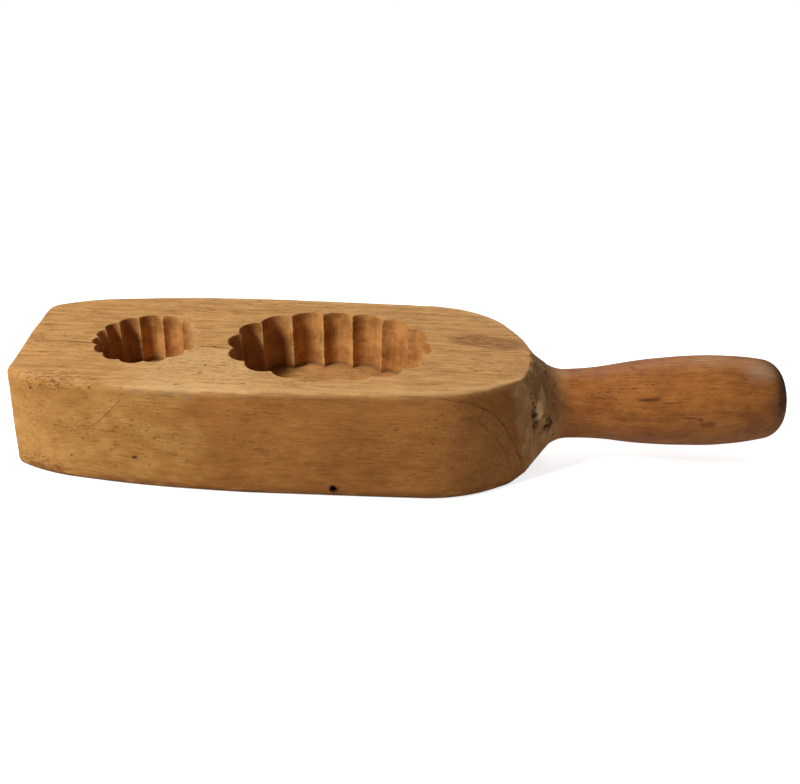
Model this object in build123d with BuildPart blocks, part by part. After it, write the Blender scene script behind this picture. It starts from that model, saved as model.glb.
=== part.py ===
from build123d import *
import os
from math import cos, pi, radians, sin, tan

os.makedirs("parts", exist_ok=True)

# A carved wooden mooncake mold: a block with two fluted pockets, and a round handle let into its nose.
# The origin is the middle of the underside, +X runs to the handle and +Z is up. All sizes in mm.

# Overall lengths: square end to neck joint, and neck joint to the handle's tip
block_length = 232.1
handle_length = 107.0

# Thickness: the top face climbs gently from the square end towards the handle
thickness_at_end = 46.95
top_slope = 1.53

# Plan of the block: its bowed sides open from the square end at this angle, and run in arcs through
# these half widths, by distance from the square end
end_half_width = 31.9
end_opening_angle = 31.5
end_taper_length = 27.3
end_taper_half_width = 41.8
widest_at = 108.4
widest_half_width = 46.6
shoulder_at = 178.0
shoulder_half_width = 44.0

# Plan of the shoulder: half widths by distance back from the neck joint. The back is carved further in
front_shoulder_turn = 20.0
front_shoulder_turn_half_width = 31.9
back_shoulder_turn = 21.5
back_shoulder_turn_half_width = 27.7
nose_run_out = 6.0
nose_half_width = 18.5

# Edges of the block: corners rounded in plan, the top arris worn to a narrow bevel, the base worn round
end_corner_radius = 7.0
top_arris_bevel = 1.2
base_arris_radius = 2.6

# The pockets were laid out along a line turned a little from the long axis
layout_angle = -2.2

# Small round pocket, placed by distance from the square end and off the long axis
round_pocket_at = 53.0
round_pocket_offset = 0.6
round_pocket_cusp_half_length = 21.0
round_pocket_cusp_half_width = 21.8
round_pocket_flute_swell = 2.5
round_pocket_flutes = 15
round_pocket_turn = 87.7
round_pocket_bunching = 5.0
round_pocket_squareness = 2.0
round_pocket_depth = 23.0

# Large oval pocket, placed the same way
oval_pocket_at = 134.2
oval_pocket_offset = -0.8
oval_pocket_cusp_half_length = 41.4
oval_pocket_cusp_half_width = 30.1
oval_pocket_flute_swell = 3.6
oval_pocket_flutes = 16
oval_pocket_turn = 11.5
oval_pocket_bunching = 4.5
oval_pocket_squareness = 2.18
oval_pocket_depth = 26.5

# Both pockets close in slightly towards their floors, so that a cake drops out
pocket_draft = 1.0

# Where the handle leaves the block, and the way it points
joint_height = 25.75
joint_offset = 0.9
handle_swing = 4.38
handle_rise = 2.65

# The hollow of the neck
neck_radius = 15.65
neck_from_joint = 8.5
neck_hollow_radius = 16.0

# The shoulder is carved down to the neck in two bands. Round sections through them, by distance back
# from the neck joint: where the bands meet, and part way along the second, which runs on from there
bands_meet_at = 9.0
bands_meet_radius = 27.1
bands_meet_offset = -6.1
bands_meet_height = 25.2
second_band_at = 22.0
second_band_radius = 41.1
second_band_offset = -6.6
second_band_height = 30.0

# Grip of the handle: radii by distance from the neck joint. It opens in a hollow, turns, swells to its
# thickest, and falls to the corner of a domed tip
grip_turn_at = 30.0
grip_thickest_at = 70.5
grip_thickest_radius = 20.5
tip_corner_at = 102.4
tip_corner_half_width = 17.05
tip_corner_radius = 10.0

# Tenon of the handle, glued in the socket of the block
tenon_radius = 9.0
tenon_length = 34.0
tenon_chamfer = 1.5
glue_gap = 0.15
socket_end_gap = 0.5

# The handle's direction, the planes that the pieces share, and the neck's radius at the joint
swing = radians(handle_swing)
rise = radians(handle_rise)
slope = radians(top_slope)
handle_way = Vector(cos(swing) * cos(rise), sin(swing) * cos(rise), sin(rise))
end_x = -(block_length + handle_length * handle_way.X) / 2
joint_x = end_x + block_length
joint_point = (joint_x, joint_offset, joint_height)
across_handle = (-sin(swing), cos(swing), 0)
joint_plane = Plane(origin=joint_point, x_dir=across_handle, z_dir=handle_way)
profile_plane = Plane(origin=joint_point, x_dir=handle_way, z_dir=across_handle)
top_plane = Plane(
    origin=(end_x, 0, thickness_at_end),
    x_dir=(cos(slope), 0, sin(slope)),
    z_dir=(-sin(slope), 0, cos(slope)),
)
layout_turn = radians(layout_angle)
layout_way = top_plane.x_dir * cos(layout_turn) + top_plane.y_dir * sin(layout_turn)
sawn_thickness = thickness_at_end + 2 * block_length * tan(abs(slope)) + top_arris_bevel
joint_radius = neck_radius + neck_hollow_radius - (neck_hollow_radius**2 - neck_from_joint**2) ** 0.5

# The second band of carving is carried on past the square end, clear of the rest of the block
bands_meet = Vector(joint_x - bands_meet_at, bands_meet_offset, bands_meet_height)
second_band = Vector(joint_x - second_band_at, second_band_offset, second_band_height)
carry_on = (block_length + widest_half_width) / (second_band_at - bands_meet_at)
far_point = bands_meet + (second_band - bands_meet) * carry_on
far_radius = bands_meet_radius + (second_band_radius - bands_meet_radius) * carry_on


def draw_side(side, turn_at, turn_half_width):
    """One side of the block's plan, in tangent arcs from the square end to just past the neck joint."""
    opening = radians(end_opening_angle)
    points = [
        (end_x, side * end_half_width),
        (end_x + end_taper_length, side * end_taper_half_width),
        (end_x + widest_at, side * widest_half_width),
        (end_x + shoulder_at, side * shoulder_half_width),
        (joint_x - turn_at, side * turn_half_width),
        (joint_x + nose_run_out, joint_offset + side * nose_half_width),
    ]
    heading = (cos(opening), side * sin(opening))
    for start, stop in zip(points, points[1:]):
        heading = TangentArc(start, stop, tangent=heading) % 1
    return points[0], points[-1]


def flute_points(half_length, half_width, squareness, flutes, turn, bunching, swell):
    """Cusps and crests of a fluted outline, in turn round it.

    They lie on rounded ovals |x/a|^n + |y/b|^n = 1, the crests on one that is larger by the swell.
    Bunching widens the flutes that face the long sides and narrows those that face the ends.
    """
    points = []
    for half_step in range(2 * flutes):
        even_angle = radians(turn) + pi * half_step / flutes
        angle = even_angle - radians(bunching) * sin(2 * even_angle)
        a = half_length + swell * (half_step % 2)
        b = half_width + swell * (half_step % 2)
        reach = (abs(cos(angle) / a) ** squareness + abs(sin(angle) / b) ** squareness) ** (-1 / squareness)
        points.append((reach * cos(angle), reach * sin(angle)))
    return points


def draw_flutes(points):
    """One arc from each cusp to the next, through the crest between them."""
    for i in range(0, len(points), 2):
        ThreePointArc(points[i], points[i + 1], points[(i + 2) % len(points)])


def round_pocket_points(inset):
    """Outline of the round pocket, drawn in by the inset."""
    return flute_points(
        round_pocket_cusp_half_length - inset,
        round_pocket_cusp_half_width - inset,
        round_pocket_squareness,
        round_pocket_flutes,
        round_pocket_turn,
        round_pocket_bunching,
        round_pocket_flute_swell,
    )


def oval_pocket_points(inset):
    """Outline of the oval pocket, drawn in by the inset."""
    return flute_points(
        oval_pocket_cusp_half_length - inset,
        oval_pocket_cusp_half_width - inset,
        oval_pocket_squareness,
        oval_pocket_flutes,
        oval_pocket_turn,
        oval_pocket_bunching,
        oval_pocket_flute_swell,
    )


# Block: sawn to its plan, planed to the top slope and its edges eased. Then the shoulder is carved down
# to the round neck, the pockets are sunk square to the top face, and the socket is bored
with BuildPart() as block:
    with BuildSketch(Plane.XY):
        with BuildLine():
            back_start, back_stop = draw_side(1, back_shoulder_turn, back_shoulder_turn_half_width)
            front_start, front_stop = draw_side(-1, front_shoulder_turn, front_shoulder_turn_half_width)
            Line(back_start, front_start)
            Line(back_stop, front_stop)
        make_face()
    extrude(amount=sawn_thickness)
    split(bisect_by=top_plane, keep=Keep.BOTTOM)
    fillet(block.edges().filter_by(Axis.Z).sort_by(Axis.X)[:2], end_corner_radius)
    chamfer(block.faces().sort_by(Axis.Z)[-1].edges(), top_arris_bevel)
    fillet(block.faces().sort_by(Axis.Z)[0].edges(), base_arris_radius)

    for centre, radius in ((far_point, far_radius), (bands_meet, bands_meet_radius)):
        with BuildSketch(Plane(origin=centre, x_dir=(0, 1, 0), z_dir=(1, 0, 0))):
            Circle(radius)
    with BuildSketch(joint_plane):
        Circle(joint_radius)
    loft(ruled=True, mode=Mode.INTERSECT)

    for at, aside, pocket_points, depth in (
        (round_pocket_at, round_pocket_offset, round_pocket_points, round_pocket_depth),
        (oval_pocket_at, oval_pocket_offset, oval_pocket_points, oval_pocket_depth),
    ):
        mouth = Plane(
            origin=top_plane.from_local_coords((at, aside, 0)),
            x_dir=layout_way,
            z_dir=top_plane.z_dir,
        )
        with BuildSketch(mouth):
            with BuildLine():
                draw_flutes(pocket_points(0))
            make_face()
        with BuildSketch(mouth.offset(-depth)):
            with BuildLine():
                draw_flutes(pocket_points(depth * tan(radians(pocket_draft))))
            make_face()
        loft(ruled=True, mode=Mode.SUBTRACT)

    with BuildSketch(joint_plane):
        Circle(tenon_radius + glue_gap)
    extrude(amount=-(tenon_length + socket_end_gap), mode=Mode.SUBTRACT)
block.part.label = "block"
export_step(block.part, "parts/block.step")

# Handle: turned about its own axis. The flared neck meets the block face to face, the grip swells
# towards its far third and ends in a domed tip, and the tenon is glued in the socket
with BuildPart() as handle:
    neck = (neck_from_joint, neck_radius)
    grip_thickest = (grip_thickest_at, grip_thickest_radius)
    turn_share = (grip_turn_at - neck_from_joint) / (grip_thickest_at - neck_from_joint)
    grip_turn = (grip_turn_at, neck_radius + turn_share * (grip_thickest_radius - neck_radius))
    tip_corner = (tip_corner_at, tip_corner_half_width)
    with BuildSketch(profile_plane) as profile:
        with BuildLine():
            RadiusArc((0, joint_radius), neck, -neck_hollow_radius)
            opening_out = TangentArc(neck, grip_turn, tangent=(1, 0))
            TangentArc(grip_turn, grip_thickest, tangent=opening_out % 1)
            TangentArc(grip_thickest, tip_corner, tangent=(1, 0))
            TangentArc((handle_length, 0), tip_corner, tangent=(0, 1))
            Line((handle_length, 0), (0, 0))
            Line((0, 0), (0, joint_radius))
        make_face()
        fillet(profile.vertices().sort_by_distance((*tip_corner, 0))[0], tip_corner_radius)
    revolve(axis=Axis(joint_point, handle_way))
    with BuildSketch(joint_plane):
        Circle(tenon_radius)
    extrude(amount=-tenon_length)
    chamfer(handle.faces().sort_by(Axis.X)[0].edges(), tenon_chamfer)
handle.part.label = "handle"
export_step(handle.part, "parts/handle.step")

for piece in (block, handle):
    print(piece.part.label, len(piece.part.solids()), round(piece.part.volume), piece.part.bounding_box())
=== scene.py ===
"""Looks of a carved wooden mooncake mold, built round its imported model, in metres and in its frame."""

import cmath
import logging
import math
from dataclasses import dataclass, field
from enum import Enum
from typing import Any, Callable, Sequence, Union

import bmesh
import bpy
import numpy as np
from bpy.types import Material, Mesh, Node, NodeSocket, Object
from mathutils import Matrix, Vector


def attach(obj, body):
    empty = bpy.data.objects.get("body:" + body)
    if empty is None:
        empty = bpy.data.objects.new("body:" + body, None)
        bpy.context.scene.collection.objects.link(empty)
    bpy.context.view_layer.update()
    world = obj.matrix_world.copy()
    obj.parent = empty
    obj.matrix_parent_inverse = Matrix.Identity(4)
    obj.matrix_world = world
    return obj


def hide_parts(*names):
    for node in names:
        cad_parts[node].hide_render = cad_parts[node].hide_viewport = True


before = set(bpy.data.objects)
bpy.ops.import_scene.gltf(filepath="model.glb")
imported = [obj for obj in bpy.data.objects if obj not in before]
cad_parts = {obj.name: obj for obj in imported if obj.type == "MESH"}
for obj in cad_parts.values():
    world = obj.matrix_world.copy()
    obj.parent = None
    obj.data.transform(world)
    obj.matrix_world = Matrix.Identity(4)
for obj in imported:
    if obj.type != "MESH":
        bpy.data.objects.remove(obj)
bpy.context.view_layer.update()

LOG = logging.getLogger("mold")
MM = 0.001
TINY = 1e-6
WELD = 0.004
CREASE = 38.0
CUTTER_OVER = 3.0
QUARTER_TURN = 90.0
Array = np.ndarray
Number = Union[int, float]
Triple = tuple[float, float, float]
HALVES = (0.5, 0.5, 0.5)


def operation(name: str, swapped: bool = False) -> Callable[["Field", "Value"], "Field"]:
    """An operator of Field, which adds one Math node. The reflected ones have their sides swapped."""

    def apply(self: "Field", other: "Value") -> "Field":
        """The operator itself."""
        return self.graph.math(name, *((other, self) if swapped else (self, other)))

    return apply


class Field:
    """One output of a material's nodes, on which Python's operators add Math nodes."""

    __add__ = __radd__ = operation("ADD")
    __mul__ = __rmul__ = operation("MULTIPLY")
    __sub__, __rsub__ = operation("SUBTRACT"), operation("SUBTRACT", swapped=True)
    __truediv__, __rtruediv__ = operation("DIVIDE"), operation("DIVIDE", swapped=True)

    def __init__(self, graph: "Graph", socket: NodeSocket) -> None:
        """Keeps the socket and the graph that it is in."""
        self.graph = graph
        self.socket = socket

    def __abs__(self) -> "Field":
        """The size of self."""
        return self.graph.math("ABSOLUTE", self)


Value = Union[Field, Number]


class Graph:
    """A material's or the world's node tree. One method makes any node, and the rest are short names."""

    def __init__(self, name: str, library: str = "materials") -> None:
        """Makes an empty material of that name, or a world."""
        self.owner = getattr(bpy.data, library).new(name)
        self.owner.use_nodes = True
        self.tree = self.owner.node_tree
        self.tree.nodes.clear()

    def node(self, kind: str, settings: dict[str, Any], sockets: dict[Any, Any]) -> Node:
        """Makes one node.

        Args:
            kind: the node's type, without its ShaderNode prefix.
            settings: its properties, set first.
            sockets: for each input's name or number, a value or the field that feeds it.

        Returns:
            The node.
        """
        made = self.tree.nodes.new("ShaderNode" + kind)
        for key, setting in settings.items():
            setattr(made, key, setting)
        for key, value in sockets.items():
            value = value.socket if isinstance(value, Field) else value
            if isinstance(value, NodeSocket):
                self.tree.links.new(value, made.inputs[key])
            elif made.inputs[key].type == "RGBA" and len(value) == 3:
                made.inputs[key].default_value = (*value, 1.0)
            else:
                made.inputs[key].default_value = value
        return made

    def math(self, operation: str, *values: Value, clamp: bool = False) -> Field:
        """A Math node on up to three numbers or fields."""
        settings = {"operation": operation, "use_clamp": clamp}
        return Field(self, self.node("Math", settings, dict(enumerate(values))).outputs[0])

    def vector(self, operation: str, *values: Any, out: int = 0, **named: Any) -> Field:
        """A Vector Math node. Output 0 is its vector and output 1 its number."""
        made = self.node("VectorMath", {"operation": operation}, {**dict(enumerate(values)), **named})
        return Field(self, made.outputs[out])

    def mix(self, share: Value, first: Any, second: Any, blend: str = "MIX") -> Field:
        """A colour between first and second, or second laid over first by the blend named."""
        settings = {"data_type": "RGBA", "blend_type": blend, "clamp_factor": True}
        return Field(self, self.node("Mix", settings, {0: share, 6: first, 7: second}).outputs[2])

    def coats(self, colour: Field, *coats: tuple[Value, Any]) -> Field:
        """Lays colours over a colour in turn, each by its share."""
        for share, paint in coats:
            colour = self.mix(share, colour, paint)
        return colour

    def rise(self, field: Field, low: Number, high: Number) -> Field:
        """0 where the field is at low and 1 where it is at high, held outside them. low may be the larger."""
        settings = {"interpolation_type": "SMOOTHSTEP", "clamp": True}
        return Field(self, self.node("MapRange", settings, {0: field, 1: low, 2: high}).outputs[0])

    def noise(self, place: Field, stretch: Triple, detail: float = 2.0, rough: float = 0.5) -> Field:
        """Noise from about 0.3 to 0.7, with that many waves to the millimetre along X, Y and Z."""
        at = self.vector("MULTIPLY", place, stretch)
        sockets = {"Vector": at, "Scale": 1.0, "Detail": detail, "Roughness": rough}
        return Field(self, self.node("TexNoise", {"noise_dimensions": "3D"}, sockets).outputs[0])

    def noise_vector(self, place: Field, stretch: Triple, detail: float = 2.0) -> Field:
        """Three noises at once, each about 0.5, as a vector."""
        at = self.vector("MULTIPLY", place, stretch)
        sockets = {"Vector": at, "Scale": 1.0, "Detail": detail}
        return Field(self, self.node("TexNoise", {"noise_dimensions": "3D"}, sockets).outputs["Color"])

    def shake(self, place: Field, stretch: Triple, reach: Triple, detail: float = 2.0) -> Field:
        """The place moved by such noises, by up to about half the reach each way."""
        shift = self.vector("SUBTRACT", self.noise_vector(place, stretch, detail), HALVES)
        return self.vector("ADD", place, self.vector("MULTIPLY", shift, reach))

    def wood(self, place: Field, pattern: "Wood") -> Field:
        """One of the wood's patterns, 0 to 1."""
        stretch, low, high, detail, rough = pattern.value
        return self.rise(self.noise(place, stretch, detail, rough), low, high)

    def split(self, vector: Any) -> list[Field]:
        """A vector's three numbers."""
        return [Field(self, part) for part in self.node("SeparateXYZ", {}, {0: vector}).outputs]

    def mask(self, mask: "Mask") -> Field:
        """One of the piece's own masks."""
        settings = {"attribute_type": "GEOMETRY", "attribute_name": mask.value}
        return Field(self, self.node("Attribute", settings, {}).outputs["Fac"])

    def spot(self, place: Field, speck: "Speck", soft: float = 0.6) -> Field:
        """1 inside a speck's ellipsoid, falling to 0 at its surface over the soft share of its radius."""
        off = self.vector("DIVIDE", self.vector("SUBTRACT", place, speck.centre), speck.radii)
        return self.rise(self.vector("LENGTH", off, out=1), 1.0, 1.0 - soft)

    def stroke(self, place: Field, stroke: "Stroke") -> Field:
        """1 along a stroke's middle, falling to 0 at its half width and past its ends."""
        along = [(b - a) * weight for a, b, weight in zip(stroke.start, stroke.stop, stroke.weights)]
        length_squared = sum(step * step for step in along)
        off = self.vector("MULTIPLY", self.vector("SUBTRACT", place, stroke.start), stroke.weights)
        dot = self.vector("DOT_PRODUCT", off, along, out=1)
        share = self.math("MULTIPLY", dot, 1 / length_squared, clamp=True)
        nearest = self.vector("SCALE", along, Scale=share)
        return self.rise(self.vector("DISTANCE", off, nearest, out=1), stroke.half_width, 0.0)

    def speckle(self, colour: Field, place: Field, specks: Sequence["Speck"], paint: Triple) -> Field:
        """Lays specks over the colour."""
        return self.coats(colour, *((self.spot(place, speck) * speck.strength, paint) for speck in specks))


def arc_circle(start: complex, stop: complex, heading: float) -> tuple[complex, float]:
    """Centre and radius of the arc that leaves start at the heading, in radians, and ends at stop."""
    chord = stop - start
    radius = abs(chord) / (2 * math.sin(cmath.phase(chord) - heading))
    return start + 1j * cmath.exp(1j * heading) * radius, abs(radius)


def arc_chain(ends: Sequence[complex], heading: float, counts: Sequence[int]) -> Array:
    """Points along arcs that run smoothly on from each other.

    The chord to a point of an arc leaves its start at half the turn made so far. It is as long as the whole
    chord times the ratio of the sines of the two half turns.

    Args:
        ends: the arcs' ends in turn.
        heading: the first arc's direction at its start, in radians.
        counts: how many points each arc gets.

    Returns:
        The points as complex numbers.
    """
    path = [np.array(ends[:1])]
    for start, stop, count in zip(ends, ends[1:], counts):
        chord = stop - start
        half_turn = cmath.phase(chord) - heading
        share = np.arange(1, count + 1) / count
        reach = np.sin(half_turn * share) / math.sin(half_turn)
        path.append(start + chord * reach * np.exp(1j * half_turn * (share - 1)))
        heading += 2 * half_turn
    return np.concatenate(path)


def smooth_min(first: Array, second: Array, reach: float) -> Array:
    """The smaller of two arrays, and a little less where they are within reach of each other."""
    near = np.clip(1.0 - np.abs(first - second) / reach, 0.0, 1.0)
    return np.minimum(first, second) - near * near * reach * 0.25


def smooth_step(values: Array, low: float, high: float) -> Array:
    """0 at low and 1 at high, held outside them."""
    share = np.clip((values - low) / (high - low), 0.0, 1.0)
    return share * share * (3.0 - 2.0 * share)


def link(name: str, data: bpy.types.ID) -> Object:
    """Puts an object with that data in the scene."""
    made = bpy.data.objects.new(name, data)
    bpy.context.scene.collection.objects.link(made)
    return made


def read_points(mesh: Mesh) -> Array:
    """The mesh's points in millimetres, one row for each."""
    points = np.empty(len(mesh.vertices) * 3)
    mesh.vertices.foreach_get("co", points)
    return points.reshape(-1, 3) / MM


@dataclass(frozen=True)
class Ripples:
    """Seeded waviness: the mean of many cosine waves, each with its own direction, length and start."""

    seed: int
    wavelength: float
    waves: int = 14

    def __call__(self, *places: Array) -> Array:
        """Its value, mostly from -1 to 1, at points given by one array for each axis."""
        random = np.random.default_rng(self.seed)
        total = np.zeros(np.broadcast(*places).shape)
        for _ in range(self.waves):
            way = random.normal(size=len(places))
            way *= 2 * math.pi / self.wavelength * random.uniform(0.6, 1.5) / np.linalg.norm(way)
            total = total + np.cos(sum(w * p for w, p in zip(way, places)) + random.uniform(0, 2 * math.pi))
        return total / math.sqrt(self.waves / 2) * 0.7


@dataclass
class Skin:
    """A closed surface as a grid of points in millimetres, whose columns go round it and whose first and last
    rows close on themselves, with a value at each point for every mask in Mask."""

    points: Array
    masks: dict["Mask", Array] = field(default_factory=dict)

    def mesh(self, name: str) -> Mesh:
        """Makes the mesh, in metres, with its doubled points welded and its faces outwards."""
        rows, columns = self.points.shape[:2]
        flat = self.points.reshape(-1, 3) * MM
        row, column = np.meshgrid(np.arange(rows - 1), np.arange(columns), indexing="ij")
        beside = (column + 1) % columns
        corners = ((0, column), (0, beside), (1, beside), (1, column))
        quads = np.stack([(row + up) * columns + side for up, side in corners], axis=-1).reshape(-1, 4)
        a, b, c, d = (flat[quads[:, i]] for i in range(4))
        volume = np.einsum("ij,ij->", a, np.cross(b, c)) + np.einsum("ij,ij->", a, np.cross(c, d))
        if volume < 0:
            quads = quads[:, ::-1]
        mesh = bpy.data.meshes.new(name)
        mesh.vertices.add(len(flat))
        mesh.vertices.foreach_set("co", flat.ravel())
        mesh.loops.add(quads.size)
        mesh.loops.foreach_set("vertex_index", quads.ravel().astype(np.int32))
        mesh.polygons.add(len(quads))
        mesh.polygons.foreach_set("loop_start", np.arange(0, quads.size, 4, dtype=np.int32))
        for mask in Mask:
            values = np.broadcast_to(self.masks.get(mask, np.zeros(1)), (rows, columns)).astype(np.float32)
            layer = mesh.attributes.new(mask.value, "FLOAT", "POINT")
            layer.data.foreach_set("value", values.ravel())
        mesh.update(calc_edges=True)
        mesh.validate()
        grid = bmesh.new()
        grid.from_mesh(mesh)
        bmesh.ops.remove_doubles(grid, verts=grid.verts, dist=WELD * MM)
        grid.to_mesh(mesh)
        grid.free()
        return mesh


class Mask(Enum):
    """Values kept on a piece's own points, which its finish reads."""

    ARRIS = "arris"
    POCKET = "pocket"
    RIDGE = "ridge"
    FLOOR = "floor"
    CHISEL = "chisel"
    # The pit mask holds the pits, the flight hole, and the foot of the pocket walls, where dirt and shade are
    # painted.
    PIT_AND_FOOT_SHADE = "pit"


def saw_off(mesh: Mesh, point: Vector, way: Vector) -> None:
    """Takes away what is past a plane and closes the cut.

    Args:
        mesh: the closed mesh to cut.
        point: a point of the plane, in metres.
        way: the plane's normal, towards what is taken away.
    """
    grid = bmesh.new()
    grid.from_mesh(mesh)
    everything = [*grid.verts, *grid.edges, *grid.faces]
    cut = bmesh.ops.bisect_plane(grid, geom=everything, plane_co=point, plane_no=way, clear_outer=True)
    rim = [part for part in cut["geom_cut"] if isinstance(part, bmesh.types.BMEdge)]
    bmesh.ops.edgeloop_fill(grid, edges=rim)
    grid.to_mesh(mesh)
    grid.free()


def make_piece(name: str, mesh: Mesh, cutters: Sequence[Skin]) -> Object:
    """Makes a piece from its mesh, with the cutters' skins taken out of it. Edges past CREASE stay sharp.

    Args:
        name: the piece's name.
        mesh: its outer surface, closed.
        cutters: closed surfaces to take away.

    Returns:
        The piece, in the scene.
    """
    piece = link(name, mesh)
    tools = []
    for number, cutter in enumerate(cutters):
        tool = link(f"{name}_tool_{number}", cutter.mesh(f"{name}_tool_{number}"))
        cut = piece.modifiers.new("cut", "BOOLEAN")
        cut.operation, cut.solver, cut.object = "DIFFERENCE", "EXACT", tool
        tools.append(tool)
    if tools:
        bpy.context.view_layer.update()
        shown = piece.evaluated_get(bpy.context.evaluated_depsgraph_get())
        whole = bpy.data.meshes.new_from_object(shown)
        piece.modifiers.clear()
        piece.data = whole
        whole.name = name
    for tool in tools:
        bpy.data.objects.remove(tool)
    piece.data.shade_smooth()
    piece.data.set_sharp_from_angle(angle=math.radians(CREASE))
    return piece


@dataclass(frozen=True)
class Joint:
    """Where the handle leaves the block, its way, and the tenon between them. Millimetres and degrees."""

    x: float = 62.763
    y: float = 0.9
    z: float = 25.75
    swing: float = 4.38
    rise: float = 2.65
    radius: float = 18.09
    tenon_radius: float = 9.0
    tenon_length: float = 34.0
    tenon_chamfer: float = 1.5
    glue_gap: float = 0.15
    end_gap: float = 0.5

    @property
    def middle(self) -> Array:
        """The middle of the joint's plane."""
        return np.array([self.x, self.y, self.z])

    def axes(self) -> Array:
        """The handle's direction and two directions across it, as rows."""
        swing, rise = math.radians(self.swing), math.radians(self.rise)
        flat = math.cos(rise)
        way = np.array([math.cos(swing) * flat, math.sin(swing) * flat, math.sin(rise)])
        across = np.array([-math.sin(swing), math.cos(swing), 0.0])
        return np.stack([way, across, np.cross(way, across)])

    def plane_x(self, y: Array, z: Array) -> Array:
        """Where a line along X meets the joint's plane."""
        way = self.axes()[0]
        return self.x - ((y - self.y) * way[1] + (z - self.z) * way[2]) / way[0]

    def turned(self, along: Array, radius: Array, columns: int) -> Array:
        """A surface turned round the handle's axis, from distances along it and radii, for rows or a grid."""
        round_it = np.linspace(0, 2 * math.pi, columns, endpoint=False)
        along, radius = (v[:, None] if v.ndim == 1 else v for v in (along, radius))
        way, across, over = self.axes()
        offsets = np.cos(round_it)[None, :, None] * across + np.sin(round_it)[None, :, None] * over
        return self.middle + along[..., None] * way + radius[..., None] * offsets

    def socket(self) -> Skin:
        """The bore for the tenon, carried on past the joint."""
        depth, radius = self.tenon_length + self.end_gap, self.tenon_radius + self.glue_gap
        along = np.array([-depth, -depth, CUTTER_OVER, CUTTER_OVER])
        return Skin(self.turned(along, np.array([0.0, radius, radius, 0.0]), 64))


@dataclass(frozen=True)
class TopFace:
    """The sloping top face: the square end's place, its height there and its climb in radians."""

    end_x: float
    end_height: float
    slope: float

    def tilt(self) -> complex:
        """The way it climbs, as cosine + i sine."""
        return complex(math.cos(self.slope), math.sin(self.slope))


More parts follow.
